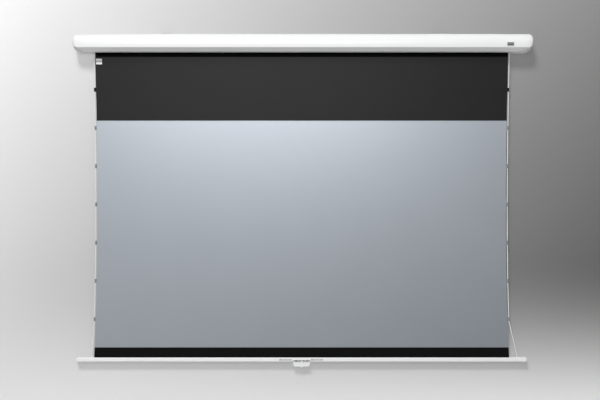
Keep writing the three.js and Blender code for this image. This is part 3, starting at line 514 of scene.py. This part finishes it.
# The hem goes into the bar's slot and turns round the rod, and its end is welded to its own back
hem_cloth = coated_cloth("hem_cloth", {"Specular IOR Level": 0.12}, (tone(9, 9, 10), tone(14, 14, 15)),
                         (0.6, 0.75), 6000)
hem, hem_cut, hem_area = cloth("hem_band", "hem_fabric", picture_end, bar_top, 4, "black_fabric",
                               hem_cloth)
rod_z, loop_radius, neck_rise = -1.4527, 0.0043, 0.0052
loop_steps = 24
leaf_gap = 0.00066
leaves_loop = math.acos(loop_radius / neck_rise)
loop_line = [(0, bar_top - rod_z), (0, neck_rise)]
for step in range(loop_steps + 1):
    turn = math.pi / 2 + leaves_loop + step / loop_steps * 2 * (math.pi - leaves_loop)
    loop_line.append((loop_radius * math.cos(turn), loop_radius * math.sin(turn)))
loop_line += [(leaf_gap, neck_rise), (leaf_gap, bar_top - rod_z)]
loop_half = half_width(picture_end)


def round_rod(u, v):
    deep, up = loop_line[round(v * (len(loop_line) - 1))]
    return cloth_x + (1 - 2 * u) * loop_half, cloth_y + deep, rod_z + up


loop = bent_sheet("hem_loop", cloth_steps, len(loop_line) - 1, round_rod, cloth_thick, hem_cloth)
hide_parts("hem_fabric")
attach(pattern_kept(loop), "bar")
2 * loop_half

# Three turns of the drop stay on the roller when the screen is down
roller_y = -0.0514
roll_outer, roll_inner = 0.02662, 0.02558
roll_turns, turn_steps = 3, 48
roll_thick = 0.0003


def wound(u, v):
    turn = u * roll_turns * 2 * math.pi
    radius = roll_outer + (roll_inner - roll_outer) * u
    return (cloth_x + (2 * v - 1) * half_width(0), roller_y + radius * math.cos(turn),
            radius * math.sin(turn))


roll_cloth, signal, shader = new_finish("roll_cloth", {"Specular IOR Level": 0.12})
surface(signal, shader, (tone(9, 9, 10), tone(14, 14, 15)), (0.6, 0.75), 0.0001, 900, 0.2)
roll = bent_sheet("safety_turns", turn_steps * roll_turns, 12, wound, roll_thick, roll_cloth)
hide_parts("wound_fabric")
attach(roll, "roller")
2 * half_width(0)

# Label
# A small plain paper label with a pale stripe is stuck to the upper left corner of the black drop.
label_paper, signal, shader = new_finish("label_paper", {"Roughness": 0.55})
_, up, _ = signal.node("ShaderNodeTexCoord", {}, {}, "UV").parts()
fibre = noise(kept_place(signal), 1500, 4)
paper = signal.blend(fibre, tone(241, 241, 243), tone(250, 250, 251))
stripe = (up > 0.4) * (up < 0.66)
signal.blend(stripe, paper, tone(186, 182, 196)).feed(shader, "Base Color")
relief(shader, fibre, 0.1, 0.0001)


def stuck_on(name, low, high, front, thick, finish, corner):
    """A thin label with rounded corners between two (x, z) corners, stuck on from the front."""
    alone()
    middle = ((low[0] + high[0]) / 2, front, (low[1] + high[1]) / 2)
    bpy.ops.mesh.primitive_plane_add(size=1, location=middle, rotation=(math.radians(90), 0, 0))
    bpy.ops.transform.resize(value=(high[0] - low[0], 1, high[1] - low[1]))
    piece = settled(bpy.context.object, name)
    bpy.ops.object.mode_set(mode="EDIT")
    bpy.ops.mesh.select_all(action="SELECT")
    bpy.ops.mesh.bevel(offset=corner, segments=4, affect="VERTICES")
    bpy.ops.mesh.select_all(action="SELECT")
    bpy.ops.mesh.extrude_region_move(TRANSFORM_OT_translate={"value": (0, thick, 0)})
    bpy.ops.mesh.select_all(action="SELECT")
    bpy.ops.mesh.normals_make_consistent(inside=False)
    bpy.ops.object.mode_set(mode="OBJECT")
    piece.data.materials.append(finish)
    return piece


label_low, label_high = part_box("fabric_label")
label = stuck_on("plain_label", (label_low.x, label_low.z), (label_high.x, label_high.z),
                 label_low.y, label_high.y - label_low.y, label_paper, 0.0015)
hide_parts("fabric_label")
rising(label)

# Side tabs
# Seven strips a side, each folded round the tension cord into an eye. Both ends are welded to the
# back of the cloth. They are black on the drop and grey below it.
grey_tab_cloth = coated_cloth("grey_tab_cloth", {"Specular IOR Level": 0.3},
                              (tone(128, 133, 138), tone(146, 150, 155)), (0.5, 0.6), 5200)
cord_gap, weld_reach = 0.0055, 0.0139
weld_start, weld_end, fold_start = -cord_gap - weld_reach, -0.011, -0.0053
tab_thick, tab_height = 0.0004, 0.018
cloth_gap, fold_gap = 0.00003, 0.00002
front_layer = cloth_thick / 2 + tab_thick / 2 + cloth_gap
back_layer = front_layer + tab_thick + fold_gap
eye_radius, eye_steps = 0.00324, 20


def tangent_turn(deep, side):
    """Where a line from the fold meets the eye, as an angle round the cord."""
    return math.atan2(deep, fold_start) + side * math.acos(eye_radius / math.hypot(fold_start, deep))


first_turn = tangent_turn(front_layer, 1)
last_turn = tangent_turn(back_layer, -1) + 2 * math.pi
tab_line = [(weld_start, front_layer), (weld_end, front_layer), (fold_start, front_layer)]
for step in range(eye_steps + 1):
    turn = first_turn + step / eye_steps * (last_turn - first_turn)
    tab_line.append((eye_radius * math.cos(turn), eye_radius * math.sin(turn)))
tab_line += [(fold_start, back_layer), (weld_end, back_layer), (weld_start, back_layer)]


def eye_tab(side, number, finish):
    """A tab of one side, on its row."""
    sign = 1 if side == "right" else -1
    z = tab_rows[number - 1]
    middle = cloth_x + sign * (half_width(z) + cord_gap)

    def folded(u, v):
        across, deep = tab_line[round(u * (len(tab_line) - 1))]
        return middle + sign * across, cloth_y + deep, z + (v - 0.5) * tab_height
    piece = bent_sheet(f"{side}_eye_tab_{number}", len(tab_line) - 1, 6, folded, tab_thick, finish)
    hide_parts(f"{side}_tab_{number}")
    return rising(piece)


tabs = [eye_tab(side, 1, drop_cloth) for side in ("left", "right")]
tabs += [eye_tab(side, number, grey_tab_cloth) for side in ("left", "right")
         for number in range(2, tab_count + 1)]

# Tension cords
# A braided white polyester cord runs down each side from the roller, straight through every tab,
# and then out to its guide in the bar.
braid, signal, shader = new_finish("braided_cord", {"Roughness": 0.75})
across, _, up = kept_place(signal).parts()
lay = 2600
strands = signal.maths("MAXIMUM", signal.maths("SINE", lay * (up + across)),
                       signal.maths("SINE", lay * (up - across)))
signal.blend(0.5 + 0.5 * strands, tone(232, 232, 229), tone(251, 251, 249)).feed(shader, "Base Color")
relief(shader, strands, 0.5, 0.0003)
cord_radius = 0.002
guide_mouth, cord_foot = bar_top + 0.0016, -1.451


def cord_length(name, side, route):
    """A round cord through these (x, z) points beside the cloth."""
    line = bpy.data.curves.new(name, "CURVE")
    line.dimensions, line.use_fill_caps = "3D", True
    line.bevel_depth, line.bevel_resolution = cord_radius, 4
    run = line.splines.new("POLY")
    run.points.add(len(route) - 1)
    for point, (x, z) in zip(run.points, route):
        point.co = (x, cloth_y, z, 1)
    piece = bpy.data.objects.new(name, line)
    bpy.context.scene.collection.objects.link(piece)
    alone(piece)
    bpy.ops.object.convert(target="MESH")
    piece = bpy.context.object
    bpy.ops.object.shade_smooth_by_angle(angle=math.radians(50))
    piece.data.materials.append(braid)
    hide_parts(f"{side}_tension_cord")
    return piece


def held_cord(side, anchor_x):
    """One cord in three lengths: under the roller, beside the cloth, and in its guide."""
    sign = 1 if side == "right" else -1

    def beside(z):
        return cloth_x + sign * (half_width(z) + cord_gap), z
    top = cord_length(f"{side}_cord_top", side, [beside(0), beside(roll_foot)])
    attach(pattern_kept(top), "housing")
    half_tab = tab_height / 2
    at_tabs = [beside(row + offset) for row in tab_rows for offset in (half_tab, 0, -half_tab)]
    run = cord_length(f"{side}_cord", side, [beside(roll_foot), *at_tabs, (anchor_x, guide_mouth)])
    rising(run)
    foot = cord_length(f"{side}_cord_foot", side, [(anchor_x, guide_mouth), (anchor_x, cord_foot)])
    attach(pattern_kept(foot), "bar")


held_cord("left", -0.975)
held_cord("right", 0.989)

# Weight bar
# A white powder coated aluminium section holds the hem's rod in its top slot. Moulded caps
# close its ends, with the cord guides beside them and a screw in each end to tighten the cord.
eased("weight_bar", "bar_section", "bar", coat, 0.0003)
for side in ("left", "right"):
    eased(f"{side}_bar_cap", f"{side}_bar_end", "bar", moulding, 0.0003)
    eased(f"{side}_cord_guide", f"{side}_guide", "bar", moulding, 0.0002)
    eased(f"{side}_tension_screw", f"{side}_adjuster", f"{side}_adjuster", plain_steel,
          0.0002)

# Stickers
# Two small plain stickers are on the front of the bar, one each side of the pull handle.
sticker_film, signal, shader = new_finish("sticker_film", {"Roughness": 0.45})
across, up, _ = signal.node("ShaderNodeTexCoord", {}, {}, "UV").parts()
fibre = noise(object_place(signal), 1500, 4)
film = signal.blend(fibre, tone(196, 190, 206), tone(212, 208, 218))
patch = (across < 0.13) * (up > 0.15) * (up < 0.85)
signal.blend(patch, film, tone(178, 160, 74)).feed(shader, "Base Color")
relief(shader, fibre, 0.1, 0.0001)
sticker_foot, sticker_top, sticker_front = -1.4595, -1.4516, -0.0352
for name, left, right in (("left_sticker", -0.1086, -0.0511), ("right_sticker", 0.0377, 0.094)):
    sticker = stuck_on(name, (left, sticker_foot), (right, sticker_top), sticker_front, 0.0002,
                       sticker_film, 0.001)
    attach(sticker, "bar")

# Pull handle
# A dark clip sits in a notch in the bar's underside. Its colour is darkened to near black so that the
# gaps between the handle's arms read shaded: partly the clip's own dark plastic, partly painted shade.
# The white handle hangs on a steel pin in it and swings, and its lower edge has a small nub for a hooked
# pole.
clip_plastic_and_shade, signal, shader = new_finish("dark_plastic", {})
surface(signal, shader, (tone(16, 15, 17), tone(24, 23, 26)), (0.5, 0.62), 0.00008, 900, 0.12)
clip = eased("handle_clip", "clip", "bar", clip_plastic_and_shade, 0.0002)
clip_low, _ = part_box("handle_clip")

# Its underside is lifted a little, to leave the handle room when it swings back
clip_edge, clip_lift = 0.0004, 0.0003
alone(clip)
for corner in clip.data.vertices:
    corner.select = corner.co.z < clip_low.z + clip_edge
bpy.ops.object.mode_set(mode="EDIT")
bpy.ops.transform.translate(value=(0, 0, clip_lift))
bpy.ops.object.mode_set(mode="OBJECT")
eased("handle_pin", "clip_pin", "bar", plain_steel, 0.0001)
grip = eased("pull_handle", "grip", "handle", moulding, 0.0004)
_, grip_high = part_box("pull_handle")
plate_top, recess_top = -1.468, -1.4692
recess_margin, recess_slope, recess_depth = 0.0024, 0.0008, 0.0007


def pick_front(piece, below):
    """Selects the largest face that looks forward and lies below a height."""
    bpy.ops.object.mode_set(mode="OBJECT")
    for face in piece.data.polygons:
        face.select = False
    front = [face for face in piece.data.polygons if face.normal.y < -0.95 and face.center.z < below]
    largest = max(front, key=lambda face: face.area)
    largest.select = True
    bpy.ops.object.mode_set(mode="EDIT")


# A shallow finger recess is pressed into the front of the grip, under the lugs
alone(grip)
pick_front(grip, grip_high.z)
bpy.ops.mesh.bisect(plane_co=(0, 0, recess_top), plane_no=(0, 0, 1))
pick_front(grip, plate_top)
bpy.ops.mesh.inset(thickness=recess_margin)
bpy.ops.mesh.inset(thickness=recess_slope, depth=-recess_depth)
bpy.ops.object.mode_set(mode="OBJECT")
even_shading(grip, 35)
